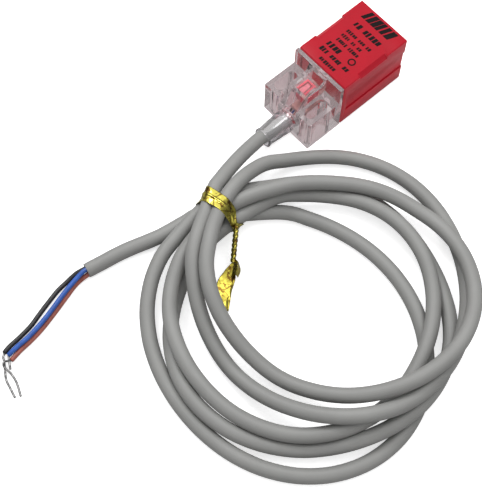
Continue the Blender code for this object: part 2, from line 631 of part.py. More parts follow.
# ---------------------------------------------------------------- twist tie
def make_tie(foil):
    """A band round the bundle, its ends twisted together, and the two foil ends fanned out."""
    route = smooth_route(coil_route(), 0.0015)
    near = route[np.abs(route[:, 1] - TIE_PLACE[1]) < BAND_WIDTH]
    near = near[near[:, 0] < TIE_PLACE[0] + 0.015]
    low_x = near[:, 0].min() - CABLE_DIAMETER / 2 - GAP * 2
    high_x = near[:, 0].max() + CABLE_DIAMETER / 2 + GAP * 2
    low_z, high_z = BUNDLE_LIFT - GAP, BUNDLE_HEIGHT + GAP
    front = TIE_PLACE[1] + BAND_WIDTH / 2
    rear = TIE_PLACE[1] - BAND_WIDTH / 2
    slope = BUNDLE_SLOPE
    inside = [(low_x, low_z), (high_x, low_z), (high_x, high_z - slope), (high_x - slope, high_z),
              (low_x, high_z)]
    wall = BAND_THICKNESS
    slope += wall * (2 - math.sqrt(2))
    outside = [(low_x - wall, low_z - wall), (high_x + wall, low_z - wall),
               (high_x + wall, high_z + wall - slope), (high_x + wall - slope, high_z + wall),
               (low_x - wall, high_z + wall)]
    band = prism("tie_band", outside, rear, front, "y", foil)
    opening = prism("band_opening", inside, rear - 0.001, front + 0.001, "y")
    boolean(band, opening)
    cord("tie_twist", smooth_route(TWIST_ROUTE, TWIST_DIAMETER), TWIST_DIAMETER, 2, foil)
    prism("tie_flap_long", LONG_FLAP, FLAP_LIFT, FLAP_LIFT + FLAP_THICKNESS, "z", foil)
    low_short = FLAP_LIFT + FLAP_THICKNESS + GAP
    prism("tie_flap_short", SHORT_FLAP, low_short, low_short + FLAP_THICKNESS, "z", foil)


def build():
    for thing in list(bpy.data.objects):
        bpy.data.objects.remove(thing)
    red = material("red_moulding", (0.58, 0.015, 0.03), 0.4)
    clear = material("clear_moulding", (0.75, 0.68, 0.70), 0.1, alpha=0.35)
    grey = material("grey_jacket", (0.30, 0.30, 0.29), 0.55)
    foil = material("gold_foil", (0.85, 0.66, 0.06), 0.25, 1.0)
    tin = material("tinned_copper", (0.6, 0.6, 0.6), 0.35, 1.0)
    copper = material("enamelled_copper", (0.60, 0.24, 0.09), 0.35, 1.0)
    ferrite = material("ferrite", (0.05, 0.05, 0.055), 0.6)
    black = material("chip_black", (0.02, 0.02, 0.02), 0.45)
    white = material("bobbin_white", (0.75, 0.73, 0.68), 0.5)
    buff = material("board_buff", (0.58, 0.40, 0.36), 0.4)
    blue = material("trimmer_blue", (0.03, 0.12, 0.45), 0.4)
    yellow = material("capacitor_yellow", (0.7, 0.45, 0.05), 0.45)
    tan = material("ceramic_tan", (0.45, 0.30, 0.17), 0.5)
    resin = material("potting_resin", (0.36, 0.010, 0.018), 0.5)
    lens = material("lens_pale", (0.75, 0.62, 0.58), 0.2)
    wires = {
        "black": material("wire_black", (0.02, 0.02, 0.02), 0.45),
        "blue": material("wire_blue", (0.03, 0.15, 0.55), 0.4),
        "brown": material("wire_brown", (0.45, 0.12, 0.07), 0.45),
    }
    make_front_housing(red)
    make_rear_cover(clear)
    make_strain_relief(clear)
    make_sensing_head(ferrite, white, copper, black)
    make_board(buff)
    make_components(black, tan, blue, yellow, tin)
    make_indicator(red, lens, tin)
    make_potting(resin)
    make_inner_wires(wires, copper)
    make_cable(grey, wires, tin)
    make_tie(foil)


build()
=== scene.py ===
# Looks of a square inductive proximity sensor: a red housing with a clear rear cover, and its grey
# cable lying in a tied coil on a pale table. Metres, +Z up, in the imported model's own frame.
import math

import bmesh
import bpy
import numpy as np
from mathutils import Matrix, Vector


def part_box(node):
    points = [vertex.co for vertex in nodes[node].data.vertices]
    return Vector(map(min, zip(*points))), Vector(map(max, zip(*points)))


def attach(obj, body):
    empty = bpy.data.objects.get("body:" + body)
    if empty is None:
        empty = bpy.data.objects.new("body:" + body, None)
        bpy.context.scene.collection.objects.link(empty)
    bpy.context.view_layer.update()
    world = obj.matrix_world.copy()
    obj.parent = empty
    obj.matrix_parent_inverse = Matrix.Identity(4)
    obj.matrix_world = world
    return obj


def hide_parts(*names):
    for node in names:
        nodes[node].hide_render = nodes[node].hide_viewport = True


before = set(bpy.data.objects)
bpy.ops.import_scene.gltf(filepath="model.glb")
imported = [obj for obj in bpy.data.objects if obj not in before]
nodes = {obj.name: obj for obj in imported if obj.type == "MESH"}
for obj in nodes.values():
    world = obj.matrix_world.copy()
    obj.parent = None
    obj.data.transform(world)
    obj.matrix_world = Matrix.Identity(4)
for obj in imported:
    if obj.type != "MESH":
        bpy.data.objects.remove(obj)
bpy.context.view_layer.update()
print("frame loaded,", len(nodes), "nodes")


# camera: a close view from behind the cable's end, looking down over the coil
camera = {
    "place": (0.11345, -0.13529, 0.27769),
    "aim": (0.0187, -0.0510, 0.0),      # where the middle of the view meets the table
    "roll": 0.41,                       # degrees
    "lens": 84.2,                       # mm
    "sensor": 36,                       # mm
}


def makeCamera(c):
    view = bpy.data.objects.new("camera", bpy.data.cameras.new("camera"))
    bpy.context.scene.collection.objects.link(view)
    look = Vector(c["aim"]) - Vector(c["place"])
    view.rotation_mode = "QUATERNION"
    roll = Matrix.Rotation(math.radians(c["roll"]), 3, "Z").to_quaternion()
    view.rotation_quaternion = look.to_track_quat("-Z", "Y") @ roll
    view.location = c["place"]
    view.data.lens = c["lens"]
    view.data.sensor_width = c["sensor"]
    bpy.context.scene.camera = view


makeCamera(camera)
print("camera placed")


# shader maths

class Signal:
    # the output of a shader node; + - * and abs on it add Math nodes
    def __init__(self, finish, socket):
        self.finish = finish
        self.socket = socket

    def math(self, operation, a, b=None):
        given = {0: a} if b is None else {0: a, 1: b}
        return self.finish.node("ShaderNodeMath", {"operation": operation}, given)

    def __add__(self, other): return self.math("ADD", self, other)
    def __radd__(self, other): return self.math("ADD", other, self)
    def __sub__(self, other): return self.math("SUBTRACT", self, other)
    def __rsub__(self, other): return self.math("SUBTRACT", other, self)
    def __mul__(self, other): return self.math("MULTIPLY", self, other)
    def __rmul__(self, other): return self.math("MULTIPLY", other, self)
    def __abs__(self): return self.math("ABSOLUTE", self)


class Finish:
    # one material round a Principled shader
    def __init__(self, name):
        self.material = bpy.data.materials.new(name)
        self.material.use_nodes = True
        self.tree = self.material.node_tree
        self.shader = self.tree.nodes["Principled BSDF"]

    def put(self, socket, value):
        if isinstance(value, Signal):
            self.tree.links.new(value.socket, socket)
        elif socket.type == "RGBA" and len(value) == 3:
            socket.default_value = (*value, 1.0)
        else:
            socket.default_value = value

    def node(self, kind, settings=None, inputs=None, output=0):
        made = self.tree.nodes.new(kind)
        for key, value in (settings or {}).items():
            if key == "stops":
                while len(made.color_ramp.elements) < len(value):
                    made.color_ramp.elements.new(1.0)
                for stop, (place, shade) in zip(made.color_ramp.elements, value):
                    stop.position = place
                    stop.color = (shade, shade, shade, 1.0)
            else:
                setattr(made, key, value)
        for key, value in (inputs or {}).items():
            self.put(made.inputs[key], value)
        return Signal(self, made.outputs[output])

    def place(self, stretch=(1, 1, 1), follow=False):
        # where a point lies, in the piece's own space, or along and round it when it follows the surface
        where = self.node("ShaderNodeTexCoord", output="UV" if follow else "Object")
        return self.node("ShaderNodeMapping", {}, {"Vector": where, "Scale": stretch})

    def noise(self, scale, detail=3.0, stretch=(1, 1, 1), follow=False):
        where = self.place(stretch, follow)
        return self.node("ShaderNodeTexNoise", {}, {"Vector": where, "Scale": scale, "Detail": detail})

    def ramp(self, value, low, high):
        return self.node("ShaderNodeValToRGB", {"stops": [(low, 0.0), (high, 1.0)]}, {0: value})

    def blendColour(self, factor, a, b):
        return self.node("ShaderNodeMix", {"data_type": "RGBA"}, {0: factor, 6: a, 7: b}, output=2)

    def bump(self, height, strength, distance):
        bumped = self.node("ShaderNodeBump", {}, {"Height": height, "Strength": strength, "Distance": distance})
        self.put(self.shader.inputs["Normal"], bumped)

    def set(self, socket, value):
        self.put(self.shader.inputs[socket], value)


def moulded(name, colour, roughness, grain=9000, depth=0.00002, mottle=0.06, specular=0.5, sides=None):
    # moulded plastic: a fine grain in the surface and a slight unevenness of colour and gloss; sides is the
    # colour of its upright faces, a painted reflection of the pale surroundings that makes them paler than its
    # top
    finish = Finish(name)
    finish.set("Specular IOR Level", specular)
    cloud = finish.noise(180, 4.0)
    darker = tuple(c * (1 - mottle) for c in colour)
    shade = finish.blendColour(finish.ramp(cloud, 0.35, 0.65), darker, colour)
    if sides:
        # painted reflection: faces blend towards the sides colour as their normal turns from up
        normal = finish.node("ShaderNodeNewGeometry", output="Normal")
        upward = finish.node("ShaderNodeSeparateXYZ", {}, {0: normal}, output="Z")
        shade = finish.blendColour(finish.ramp(abs(upward), 0.3, 0.8), sides, shade)
    finish.set("Base Color", shade)
    finish.set("Roughness", roughness + (cloud - 0.5) * 0.12)
    finish.bump(finish.noise(grain, 2.0), 0.25, depth)
    return finish.material


# mesh helpers

def addPiece(name, points, faces, finish):
    # a mesh object from points and faces, its faces turned outward
    mesh = bpy.data.meshes.new(name)
    mesh.from_pydata(np.asarray(points, float).tolist(), [], faces)
    shape = bmesh.new()
    shape.from_mesh(mesh)
    bmesh.ops.recalc_face_normals(shape, faces=shape.faces)
    shape.to_mesh(mesh)
    shape.free()
    mesh.materials.append(finish)
    piece = bpy.data.objects.new(name, mesh)
    bpy.context.scene.collection.objects.link(piece)
    mesh.shade_smooth()
    return piece


def gridPiece(name, rings, finish, closedRound=True, capped=True):
    # rings is (along, round, 3): neighbouring points make quads, and each end closes on its middle
    count, sides = rings.shape[:2]
    i, j = np.meshgrid(np.arange(count - 1), np.arange(sides if closedRound else sides - 1), indexing="ij")
    a, b = i * sides + j, i * sides + (j + 1) % sides
    quads = np.stack([a, b, b + sides, a + sides], axis=-1).reshape(-1, 4)
    points = rings.reshape(-1, 3)
    faces = quads.tolist()
    if capped:
        points = np.vstack([points, rings[0].mean(0), rings[-1].mean(0)])
        for ring, middle in ((0, count * sides), (count - 1, count * sides + 1)):
            faces += [(ring * sides + k, ring * sides + (k + 1) % sides, middle) for k in range(sides)]
    piece = addPiece(name, points, faces, finish)
    # the surface's own measure: distance along in metres, and the share of the way round
    steps = np.linalg.norm(np.diff(rings.mean(1), axis=0), axis=1)
    along = np.append(np.repeat(np.concatenate([[0], np.cumsum(steps)]), sides), [0, steps.sum()])
    about = np.append(np.tile(np.arange(sides) / sides, count), [0, 0])
    loops = np.zeros(len(piece.data.loops), np.int32)
    piece.data.loops.foreach_get("vertex_index", loops)
    spread = piece.data.uv_layers.new(name="surface")
    mirrored = 1 - np.abs(2 * about[loops] - 1)      # runs up and back, so it meets itself at the seam
    spread.data.foreach_set("uv", np.stack([along[loops], mirrored], axis=1).astype(np.float32).ravel())
    return piece


def framesAlong(path):
    # two directions square to the path at each point, carried along without twisting
    ways = np.gradient(path, axis=0)
    ways /= np.linalg.norm(ways, axis=1)[:, None]
    first = np.cross(ways[0], (0, 0, 1.0) if abs(ways[0][2]) < 0.9 else (1.0, 0, 0))
    sides = [first / np.linalg.norm(first)]
    for way in ways[1:]:
        side = sides[-1] - way * (sides[-1] @ way)
        sides.append(side / np.linalg.norm(side))
    sides = np.array(sides)
    return sides, np.cross(ways, sides)


def sweep(path, radius):
    # radius(along, round) in metres gives each ring's outline as (points, sides); it is carried along the path
    across, upward = framesAlong(path)
    about = np.linspace(0, 2 * math.pi, radius.shape[1], endpoint=False)
    return path[:, None] + radius[:, :, None] * (across[:, None] * np.cos(about)[None, :, None]
                                                 + upward[:, None] * np.sin(about)[None, :, None])


def smoothRoute(points, spacing):
    # even steps along a Catmull-Rom curve through the points, and the step nearest to each point
    knots = np.array(points, float)
    knots = np.vstack([2 * knots[0] - knots[1], knots, 2 * knots[-1] - knots[-2]])
    share = np.linspace(0, 1, 20, endpoint=False)[:, None]
    runs = []
    for p0, p1, p2, p3 in zip(knots, knots[1:], knots[2:], knots[3:]):
        runs.append(0.5 * (2 * p1 + (p2 - p0) * share + (2 * p0 - 5 * p1 + 4 * p2 - p3) * share ** 2
                           + (3 * p1 - p0 - 3 * p2 + p3) * share ** 3))
    fine = np.vstack(runs + [knots[-2:-1]])
    along = np.concatenate([[0], np.cumsum(np.linalg.norm(np.diff(fine, axis=0), axis=1))])
    wanted = np.linspace(0, along[-1], max(2, round(along[-1] / spacing) + 1))
    nearest = np.abs(wanted[:, None] - along[::20][None]).argmin(0)
    return np.stack([np.interp(wanted, along, fine[:, k]) for k in range(3)], axis=1), nearest


# cable

cable = {
    "diameter": 0.0040,
    "wall": 0.0006,                 # of the jacket, at its cut end
    "step": 0.0015,                 # between the route's points
    "sides": 24,
    # from inside the cover to the coil, as the lead
    "lead": [
        (0.0, -0.0165, 0.0042), (0.0, -0.0215, 0.0042), (0.0, -0.0272, 0.0042),
        (0.0007, -0.0320, 0.0048), (0.0017, -0.0367, 0.0059), (0.0029, -0.0412, 0.0073),
        (0.0043, -0.0457, 0.0088),
    ],
    # from the coil to the jacket's cut end
    "tail": [
        (0.0057, -0.0545, 0.0028), (0.0050, -0.0583, 0.0024), (0.0044, -0.0622, 0.0021),
        (0.0037, -0.0660, 0.0020), (0.0027, -0.0695, 0.0020), (0.0011, -0.0745, 0.0020),
        (0.0001, -0.0785, 0.0020), (-0.0006, -0.0825, 0.0020), (-0.0015, -0.0872, 0.0020),
    ],
    # each turn: centre, half length, half width, lean in degrees, three-sided swell, its direction in degrees
    "turns": [
        ((0.0434, -0.0413), 0.0380, 0.0352, -31, 0.0006, -19),
        ((0.0466, -0.0413), 0.0343, 0.0290, 32, 0.0007, -28),
        ((0.0444, -0.0523), 0.0327, 0.0342, -8, 0.0008, -30),
        ((0.0463, -0.0515), 0.0353, 0.0371, 25, 0.0013, 20),
        ((0.0465, -0.0600), 0.0386, 0.0327, 3, 0.0004, -46),
    ],
    # where the six strands pass through the tie
    "strands": [
        (0.0059, -0.0497, 0.0102), (0.0099, -0.0492, 0.0104), (0.0106, -0.0499, 0.0064),
        (0.0141, -0.0500, 0.0054), (0.0067, -0.0496, 0.0062), (0.0095, -0.0509, 0.0028),
    ],
    "tie": (0.0096, -0.0496),
    "clearance": 24,                # degrees of each turn, on either side of the tie, that the bundle takes up
    "turnPoints": 24,
    "order": [8, 6, 7, 5, 4, 3, 1],  # which stretch lies on which: lead, the five turns, tail
    "hump": 0.032,                  # how far ahead of a crossing the cable starts to rise
    "bundle": 0.013,                # this near the tie, the strands keep the heights given above
    "sameRun": 0.025,               # two points nearer than this along the cable don't cross
    "slack": 1.02,                  # height from one stretch to the next, in diameters
    "settling": 12,                 # rounds in which each stretch rises over those below it
}


def turnPoints(c, turn):
    # an oval, length * width / root of ((width cos)^2 + (length sin)^2), plus a swell of three lobes
    (cx, cy), length, width, lean, swell, swellWay = turn
    tieWay = math.atan2(c["tie"][1] - cy, c["tie"][0] - cx)
    skip = math.radians(c["clearance"])
    angles = tieWay + np.linspace(skip, 2 * math.pi - skip, c["turnPoints"])
    own = angles - math.radians(lean)
    reach = length * width / np.hypot(width * np.cos(own), length * np.sin(own))
    reach = reach + swell * np.cos(3 * (angles - math.radians(swellWay)))
    return np.stack([cx + reach * np.cos(angles), cy + reach * np.sin(angles),
                     np.full(c["turnPoints"], c["diameter"] / 2)], axis=1)


def layCable(c):
    # the route in plan, then each point's height: what lies on another stretch rides over it in a long low hump
    stops = [np.array(c["lead"])]
    for strand, turn in zip(c["strands"], c["turns"]):
        stops += [np.array([strand]), turnPoints(c, turn)]
    stops += [np.array([c["strands"][-1]]), np.array(c["tail"])]
    route, knots = smoothRoute(np.vstack(stops), c["step"])
    first = len(c["lead"])
    ties = [knots[first + k * (c["turnPoints"] + 1)] for k in range(len(c["strands"]))]
    radius = c["diameter"] / 2
    flat = route[:, :2]
    along = np.concatenate([[0], np.cumsum(np.linalg.norm(np.diff(flat, axis=0), axis=1))])
    held = np.zeros(len(route))
    held[knots[:first]] = np.array(c["lead"])[:, 2] - radius
    held[ties] = np.array(c["strands"])[:, 2] - radius
    order = np.array(c["order"])[np.searchsorted(ties, np.arange(len(route)), side="right")]
    apart = np.linalg.norm(flat[:, None] - flat[None], axis=2)
    gap = np.abs(along[:, None] - along[None])
    loose = np.linalg.norm(flat - np.array(c["tie"]), axis=1) > c["bundle"]
    room = c["diameter"] * c["slack"]
    crossing = (apart < room) & (gap > c["sameRun"]) & loose[:, None] & loose[None]
    i, j = np.where(np.triu(crossing, 1))
    over, under = np.where(order[i] >= order[j], i, j), np.where(order[i] >= order[j], j, i)
    step = np.sqrt(room ** 2 - apart[i, j] ** 2)
    bell = np.where(gap < c["hump"], np.cos(math.pi / 2 * np.minimum(gap / c["hump"], 1)) ** 2, 0)
    lift = np.zeros(len(route))
    for _ in range(c["settling"]):
        wanted = held.copy()
        np.maximum.at(wanted, over, lift[under] + step)
        lift = (wanted[None] * bell).max(1)
    soften = np.exp(-0.5 * (np.arange(-5, 6) / 2) ** 2)
    lift = np.convolve(np.pad(lift, 5, "edge"), soften / soften.sum(), "valid")
    return np.column_stack([flat, radius + lift]), ties


def makeCable(c, finish):
    # a round tube along the route; at the cut end the wall turns in and runs back, so the bore shows
    route, ties = layCable(c)
    radius = c["diameter"] / 2
    outer = sweep(route, np.full((len(route), c["sides"]), radius))
    bore = sweep(route, np.full((len(route), c["sides"]), radius - c["wall"]))
    lip = outer[-1] * 0.97 + route[-1] * 0.03
    rings = np.concatenate([outer[:-1], lip[None] * 0.5 + outer[-1:] * 0.5 - (outer[-1:] - outer[-2:-1]) * 0.06,
                            lip[None], bore[::-1][:4]])
    piece = gridPiece("cable_jacket", rings, finish)
    length = np.linalg.norm(np.diff(route, axis=0), axis=1).sum()
    return piece, route, length, ties


def jacketFinish():
    # satin grey PVC: fine drawn lines along it, faint handling marks, and a soft unevenness
    finish = Finish("grey_jacket")
    cloud = finish.noise(60, 4.0)
    drawn = finish.noise(1.0, 3.0, (35, 90, 1), follow=True)
    shade = finish.ramp(cloud * 0.6 + drawn * 0.4, 0.36, 0.64)
    finish.set("Base Color", finish.blendColour(shade, (0.235, 0.235, 0.228), (0.285, 0.285, 0.276)))
    finish.set("Roughness", 0.44 + drawn * 0.14)
    finish.bump(drawn * 0.7 + finish.noise(2600, 2.0) * 0.3, 0.3, 0.00004)
    return finish.material


jacket, route, cableLength, tieSteps = makeCable(cable, jacketFinish())
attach(jacket, "root")
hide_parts("cable_lead", "cable_coil", "cable_tail")
print("cable laid, %.3f m, top at %.1f mm" % (cableLength, 1000 * (route[:, 2].max() + cable["diameter"] / 2)))


# cores and their bared ends

wires = {
    "diameter": 0.0013,
    "bareDiameter": 0.0006,
    "strandCount": 7,
    "strandPitch": 0.0055,          # of the twist in the bared strands
    "sides": 16,
    "step": 0.0006,                 # between the points along a core
    "bareStep": 0.00022,
    "cutEnd": 0.88,                 # width of the insulation's last ring
    "colours": {"black": (0.012, 0.012, 0.013), "blue": (0.020, 0.085, 0.36), "brown": (0.31, 0.085, 0.062)},
    "routes": {
        "black": [
            (-0.0015, -0.0850, 0.0024), (-0.0024, -0.0879, 0.0020), (-0.0029, -0.0900, 0.0014),
            (-0.0028, -0.0930, 0.0009), (-0.0025, -0.0961, 0.0008), (-0.0016, -0.0996, 0.0008),
            (-0.0005, -0.1035, 0.0007), (0.0007, -0.1074, 0.0007), (0.0013, -0.1113, 0.0007),
            (0.0016, -0.1147, 0.0007), (0.0021, -0.1170, 0.0007),
        ],
        "blue": [
            (-0.0009, -0.0850, 0.0026), (-0.0015, -0.0877, 0.0030), (-0.0013, -0.0905, 0.0026),
            (-0.0007, -0.0940, 0.0022), (0.0001, -0.0970, 0.0021), (0.0011, -0.1003, 0.0021),
            (0.0020, -0.1036, 0.0020), (0.0027, -0.1070, 0.0019), (0.0032, -0.1102, 0.0019),
            (0.0033, -0.1135, 0.0017), (0.0035, -0.1166, 0.0012),
        ],
        "brown": [
            (-0.0006, -0.0850, 0.0014), (-0.0007, -0.0878, 0.0014), (-0.0009, -0.0903, 0.0009),
            (-0.0005, -0.0927, 0.0008), (0.0003, -0.0953, 0.0008), (0.0012, -0.0984, 0.0007),
            (0.0020, -0.1011, 0.0007), (0.0028, -0.1040, 0.0007), (0.0035, -0.1070, 0.0007),
            (0.0040, -0.1105, 0.0007), (0.0043, -0.1137, 0.0007), (0.0049, -0.1168, 0.0007),
        ],
    },
    "tips": {
        "black": [(0.0021, -0.1169, 0.0007), (0.0029, -0.1178, 0.0009), (0.0040, -0.1183, 0.0009),
                  (0.0054, -0.1192, 0.0006), (0.0079, -0.1207, 0.0004), (0.0104, -0.1213, 0.0004),
                  (0.0133, -0.1219, 0.0004)],
        "blue": [(0.0035, -0.1165, 0.0012), (0.0049, -0.1173, 0.0013), (0.0060, -0.1179, 0.0013),
                 (0.0069, -0.1184, 0.0012)],
        "brown": [(0.0049, -0.1167, 0.0007), (0.0046, -0.1176, 0.0012), (0.0044, -0.1184, 0.0018),
                  (0.0051, -0.1191, 0.0016), (0.0062, -0.1191, 0.0011), (0.0076, -0.1189, 0.0006),
                  (0.0103, -0.1192, 0.0004), (0.0140, -0.1206, 0.0004)],
    },
}


def strandedRadius(path, radius, lobes, pitch):
    # strands twisted together: as many shallow lobes as strands show, turning once in each pitch
    along = np.concatenate([[0], np.cumsum(np.linalg.norm(np.diff(path, axis=0), axis=1))])
    about = np.linspace(0, 2 * math.pi, lobes * 6, endpoint=False)
    turn = 2 * math.pi * along / pitch
    return radius * (0.80 + 0.20 * np.abs(np.cos(lobes / 2 * (about[None] + turn[:, None]))))


def makeWire(w, word, finish, tin):
    # a round tube along the core's route, drawn in a little at its cut end, and the twisted strands past it
    path, _ = smoothRoute(w["routes"][word], w["step"])
    radius = np.full((len(path), w["sides"]), w["diameter"] / 2)
    radius[-1] *= w["cutEnd"]
    wire = gridPiece("insulation_" + word, sweep(path, radius), finish)
    bare, _ = smoothRoute(w["tips"][word], w["bareStep"])
    strands = strandedRadius(bare, w["bareDiameter"] / 2, w["strandCount"], w["strandPitch"])
    tip = gridPiece("strands_" + word, sweep(bare, strands), tin)
    for piece, node, slot in ((wire, "wire_" + word, "wire_" + word), (tip, "tip_" + word, "tinned_wire")):
        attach(piece, "root")
        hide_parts(node)


def insulationFinish(word, colour):
    # glossy thin PVC, a little uneven where it was pulled straight
    finish = Finish("insulation_" + word)
    cloud = finish.noise(420, 3.0)
    lighter = tuple(c * 1.35 + 0.004 for c in colour)
    finish.set("Base Color", finish.blendColour(finish.ramp(cloud, 0.38, 0.66), colour, lighter))
    finish.set("Roughness", 0.33 + cloud * 0.12)
    finish.bump(finish.noise(1.0, 2.0, (260, 30, 1), follow=True), 0.25, 0.00005)
    return finish.material


def tinFinish():
    # tinned copper: dull silver, much darker in random patches
    finish = Finish("tinned_strands")
    finish.set("Metallic", 1.0)
    cloud = finish.noise(1500, 3.0)
    shade = finish.blendColour(finish.ramp(cloud, 0.35, 0.65), (0.10, 0.10, 0.10), (0.46, 0.45, 0.45))
    finish.set("Base Color", shade)
    finish.set("Roughness", 0.28 + cloud * 0.2)
    finish.bump(cloud, 0.3, 0.00003)
    return finish.material


tin = tinFinish()
for word, colour in wires["colours"].items():
    makeWire(wires, word, insulationFinish(word, colour), tin)
print("three cores and their bared ends made")


# foil twist tie

tie = {
    "middle": (0.0096, -0.0511),
    "lean": 0.20,                   # of the band, in radians from straight across the strands
    "width": 0.0042,
    "clearance": 0.00022,           # between the foil and the strands
    "ridge": 0.00022,               # the wire down its middle
    "ridgeWidth": 0.12,             # share of half the band
    "crown": 0.00012,               # rise of the foil between its edges
    "crumple": 0.0006,              # height of its creases
    "pucker": 0.0009,               # and of the closer ones where it is gathered
    "bunch": 0.0005,                # how far the gathered foil stands off
    "narrowing": 0.55,              # share of its width that it loses there
    "thickness": 0.00006,
    "twist": [(0.0166, -0.0509, 0.0078), (0.0180, -0.0523, 0.0066), (0.0196, -0.0541, 0.0048),
              (0.0210, -0.0556, 0.0034), (0.0222, -0.0569, 0.0026)],
    "twistRadius": 0.00074,
    "twistPitch": 0.0026,
    "gather": 0.40,                 # radians of the loop that the twist pulls together
    # each leaf of foil: its left edge, its fold, its right edge
    "leaves": {
        "long": ([(0.0218, -0.0567, 0.0022), (0.0222, -0.0600, 0.0015), (0.0233, -0.0634, 0.0013),
                  (0.0262, -0.0656, 0.0011), (0.0304, -0.0668, 0.0008)],
                 [(0.0224, -0.0566, 0.0022), (0.0246, -0.0592, 0.0011), (0.0264, -0.0620, 0.0008),
                  (0.0286, -0.0644, 0.0006), (0.0308, -0.0665, 0.0005)],
                 [(0.0230, -0.0566, 0.0019), (0.0256, -0.0590, 0.0008), (0.0274, -0.0618, 0.0004),
                  (0.0294, -0.0641, 0.00035), (0.0312, -0.0663, 0.0003)]),
        "short": ([(0.0221, -0.0562, 0.0032), (0.0232, -0.0576, 0.0032), (0.0247, -0.0594, 0.0030)],
                  [(0.0227, -0.0560, 0.0038), (0.0244, -0.0572, 0.0046), (0.0258, -0.0590, 0.0040)],
                  [(0.0232, -0.0558, 0.0030), (0.0252, -0.0568, 0.0024), (0.0264, -0.0588, 0.0026)]),
    },
    "leafCreases": {"long": (0.0007, 1.1), "short": (0.0011, 2.4)},     # height, and how close they lie
}


def crinkle(across, amount, seed, coarse=1.0):
    # small sharp folds: the mean of a few triangle waves at odd angles over the surface
    rng = np.random.default_rng(seed)
    u, v = across
    total = np.zeros(u.shape)
    for _ in range(6):
        a, b, shift = rng.uniform(0.6, 2.4) * coarse, rng.uniform(-1.5, 1.5) * coarse, rng.uniform(0, 1)
        total += np.abs((a * u + b * v + shift) % 1.0 - 0.5) - 0.25
    return total / 6 * amount


def hullLoop(centres, radius, count):
    # the taut loop round a bundle of equal circles, from its support function: h n + h' t, at even steps
    middle = centres.mean(0)
    ways = np.linspace(0, 2 * math.pi, 721)
    facing = np.stack([np.cos(ways), np.sin(ways)], axis=1)
    support = ((centres - middle) @ facing.T).max(0) + radius
    slope = np.gradient(support, ways)
    slope[[0, -1]] = (support[1] - support[-2]) / (ways[1] - ways[0]) / 2
    sideways = np.stack([-facing[:, 1], facing[:, 0]], axis=1)
    hull = middle + support[:, None] * facing + slope[:, None] * sideways
    along = np.concatenate([[0], np.cumsum(np.linalg.norm(np.diff(hull, axis=0), axis=1))])
    even = np.linspace(0, along[-1], count + 1)[:-1]
    return np.stack([np.interp(even, along, hull[:, k]) for k in (0, 1)], axis=1)


def makeBand(t, c, route, ties, finish):
    # a strip round the strands, worked out at its two edges and middle, with the wire's ridge along it and
    # its right side gathered towards the twist
    count, rows = 240, 27
    origin = np.array(t["middle"])
    across = np.array([math.cos(t["lean"]), math.sin(t["lean"])])
    along = np.array([-across[1], across[0]])
    loops = []
    for edge in (-1, 0, 1):
        centres = []
        for step in ties:
            run = route[step - 9:step + 10]
            away = (run[:, :2] - origin) @ along
            order = np.argsort(away)
            place = np.stack([(run[:, :2] - origin) @ across, run[:, 2]], axis=1)[order]
            centres.append([np.interp(edge * t["width"] / 2, away[order], place[:, k]) for k in (0, 1)])
        loops.append(hullLoop(np.array(centres), c["diameter"] / 2 + t["clearance"], count))
    first, second, third = loops
    v = np.linspace(-1, 1, rows)[:, None, None]
    flat = first * v * (v - 1) / 2 + second * (1 - v * v) + third * v * (v + 1) / 2
    middle = second.mean(0)
    out = np.roll(np.roll(second, -1, axis=0) - np.roll(second, 1, axis=0), 1, axis=1) * (1, -1)
    out /= np.linalg.norm(out, axis=1)[:, None]
    start = np.array(t["twist"][0])
    side, lift = (start[:2] - origin) @ across - middle[0], start[2] - middle[1]
    way = np.arctan2(second[:, 1] - middle[1], second[:, 0] - middle[0])
    pull = np.exp(-((way - math.atan2(lift, side)) / t["gather"]) ** 2)
    v = v[..., 0]
    u = np.broadcast_to(np.arange(count) / count, (len(v), count))
    height = t["ridge"] * np.exp(-(v / t["ridgeWidth"]) ** 2) + t["crown"] * (1 - np.abs(v)) ** 0.5
    height = height + crinkle((u * 9, v * 0.8), t["crumple"], 3) * (0.5 + pull)
    height = height + pull * crinkle((u * 60, v * 3), t["pucker"], 4)
    height = np.maximum(height, 0) + t["bunch"] * pull ** 3
    away = v * t["width"] / 2 * (1 - t["narrowing"] * pull) + (start[:2] - origin) @ along * pull ** 2
    place = flat + out[None] * height[..., None]
    ground = origin + place[..., :1] * across + away[..., None] * along
    surface = np.concatenate([ground, place[..., 1:]], axis=-1)
    return gridPiece("foil_band", surface, finish, capped=False)


def makeTwist(t, finish):
    # two foil strips wound round each other: a flattened section that turns, pinched at every half turn
    path, _ = smoothRoute(t["twist"], 0.00012)
    along = np.concatenate([[0], np.cumsum(np.linalg.norm(np.diff(path, axis=0), axis=1))])
    about = np.linspace(0, 2 * math.pi, 28, endpoint=False)
    turn = 2 * math.pi * along[:, None] / t["twistPitch"]
    lobes = np.abs(np.cos(about[None] - turn)) ** 0.6
    fine = 0.12 * np.abs(np.sin(5 * about[None] + 2.3 * turn))
    radius = t["twistRadius"] * (0.52 + 0.42 * lobes + fine)
    return gridPiece("foil_twist", sweep(path, radius), finish)


